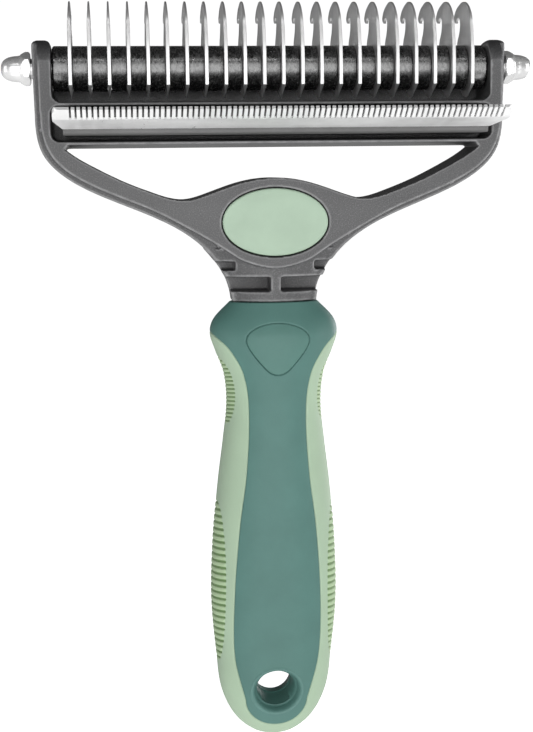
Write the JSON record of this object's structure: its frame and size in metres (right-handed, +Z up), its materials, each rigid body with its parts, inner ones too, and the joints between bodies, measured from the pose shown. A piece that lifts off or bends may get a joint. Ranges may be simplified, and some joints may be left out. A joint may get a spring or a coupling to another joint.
{
  "type": "deshedding tool",
  "caption": "Hand-held pet deshedding tool with a fine-toothed blade facing forward, a row of hooked dematting claws on an axle, and a two-colour grip.",
  "frame": {"origin": "on the axis of the hang hole through the handle's foot, in the middle plane of the head", "axes": "+Z up the tool from the hang hole to the comb, +X to the right along the comb's axle, +Y to the rear, the way the claws hook; the deshedding blade points to -Y"},
  "size_m": [0.1354, 0.0525, 0.1968],
  "materials": {
    "frame_plastic": "fine textured dark grey ABS",
    "badge_green": "satin pale green inlay",
    "blade_steel": "bright polished stainless steel",
    "screw_steel": "zinc plated",
    "core_plastic": "dark green grey core",
    "shell_teal": "satin teal with a soft touch",
    "grip_green": "soft light green rubber",
    "pad_teal": "soft teal pad",
    "sleeve_plastic": "dark grey green sleeve",
    "axle_steel": "turned steel",
    "roller_black": "glossy black, lightly scratched",
    "claw_steel": "ground stainless steel",
    "nut_steel": "bright plated"
  },
  "bodies": {
    "frame": {"head_frame": "frame_plastic", "front_badge": "badge_green", "rear_badge": "badge_green", "deshedding_blade": "blade_steel", "blade_holder": "frame_plastic", "blade_clamp": "frame_plastic", "clamp_screws": "screw_steel", "holder_screws": "screw_steel", "handle_core": "core_plastic", "front_grip_shell": "shell_teal", "rear_grip_shell": "shell_teal", "side_grip": "grip_green", "front_thumb_pad": "pad_teal", "rear_thumb_pad": "pad_teal", "hang_hole_sleeve": "sleeve_plastic", "tang_pins": "screw_steel"},
    "comb": {"comb_axle": "axle_steel", "claw_01": "claw_steel", "claw_02": "claw_steel", "claw_03": "claw_steel", "claw_04": "claw_steel", "claw_05": "claw_steel", "claw_06": "claw_steel", "claw_07": "claw_steel", "claw_08": "claw_steel", "claw_09": "claw_steel", "claw_10": "claw_steel", "claw_11": "claw_steel", "claw_12": "claw_steel", "claw_13": "claw_steel", "claw_14": "claw_steel", "claw_15": "claw_steel", "claw_16": "claw_steel", "claw_17": "claw_steel", "claw_18": "claw_steel", "claw_19": "claw_steel", "claw_20": "claw_steel", "claw_21": "claw_steel", "claw_22": "claw_steel", "claw_spacers": "roller_black", "end_spacer_left": "roller_black", "end_spacer_right": "roller_black"},
    "left_nut": {"acorn_nut_left": "nut_steel"},
    "right_nut": {"acorn_nut_right": "nut_steel"}
  },
  "joints": [
    {"name": "comb_turn", "type": "hinge", "parent": "frame", "child": "comb", "pos_m": [0, 0, 0.165], "axis": [1, 0, 0], "range_deg": [-50, 25]},
    {"name": "left_nut_spin", "type": "hinge", "parent": "comb", "child": "left_nut", "pos_m": [-0.0625, 0, 0.165], "axis": [1, 0, 0], "continuous": true},
    {"name": "right_nut_spin", "type": "hinge", "parent": "comb", "child": "right_nut", "pos_m": [0.0625, 0, 0.165], "axis": [1, 0, 0], "continuous": true}
  ]
}
